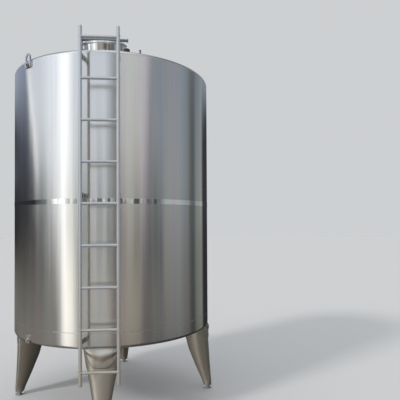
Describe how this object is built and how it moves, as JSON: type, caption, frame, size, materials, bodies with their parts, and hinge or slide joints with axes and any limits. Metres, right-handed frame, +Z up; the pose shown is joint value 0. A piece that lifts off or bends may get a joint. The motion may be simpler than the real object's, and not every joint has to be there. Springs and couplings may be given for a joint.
{
  "type": "vertical cylindrical stainless steel water tank",
  "caption": "Upright round steel storage tank on tapered legs, with a mirror seam band, a front ladder and a hinged round roof manhole.",
  "frame": {"origin": "on the floor, at the middle of the part's box; the tank's own axis stands 42 mm behind it, towards +Y", "axes": "+Z up, -Y towards the ladder and the manhole, +X to the right of someone facing the ladder"},
  "size_m": [2.084, 2.1684, 3.5714],
  "materials": {
    "shell_steel": "matt rolled stainless sheet with faint upright streaks",
    "mirror_steel": "mirror polished stainless strip",
    "polished_steel": "polished stainless steel",
    "tube_steel": "ground and polished stainless tube and bar",
    "leg_steel": "matt rolled stainless sheet",
    "dark_plastic": "dark moulded plastic"
  },
  "bodies": {
    "root": {"shell_lower_course": "shell_steel", "shell_upper_course": "shell_steel", "seam_band": "mirror_steel", "top_ring": "shell_steel", "roof": "shell_steel", "base_ring": "shell_steel", "tank_bottom": "shell_steel", "drain_nozzle": "polished_steel", "leg_front": "leg_steel", "leg_right": "leg_steel", "leg_rear": "leg_steel", "leg_left": "leg_steel", "foot_front": "polished_steel", "foot_right": "polished_steel", "foot_rear": "polished_steel", "foot_left": "polished_steel", "ladder_rail_left": "tube_steel", "ladder_rail_right": "tube_steel", "rung_1": "tube_steel", "rung_2": "tube_steel", "rung_3": "tube_steel", "rung_4": "tube_steel", "rung_5": "tube_steel", "rung_6": "tube_steel", "rung_7": "tube_steel", "rung_8": "tube_steel", "rung_9": "tube_steel", "bracket_left_lower": "tube_steel", "bracket_right_lower": "tube_steel", "bracket_left_middle": "tube_steel", "bracket_right_middle": "tube_steel", "bracket_left_upper": "tube_steel", "bracket_right_upper": "tube_steel", "manhole_neck": "polished_steel", "hinge_bracket": "polished_steel", "hinge_pin": "tube_steel", "lifting_lug_front": "tube_steel", "lifting_lug_rear": "tube_steel", "base_lug_front": "tube_steel", "base_lug_rear": "tube_steel", "vent_stub": "tube_steel", "roof_plug": "dark_plastic"},
    "lid": {"manhole_lid": "shell_steel", "lid_stem": "polished_steel", "lid_crossbar": "tube_steel"}
  },
  "joints": [
    {"name": "lid_hinge", "type": "hinge", "parent": "root", "child": "lid", "pos_m": [-0.248, -0.54352, 3.55269], "axis": [0, -0.9744, -0.225], "range_deg": [0, 105]}
  ]
}
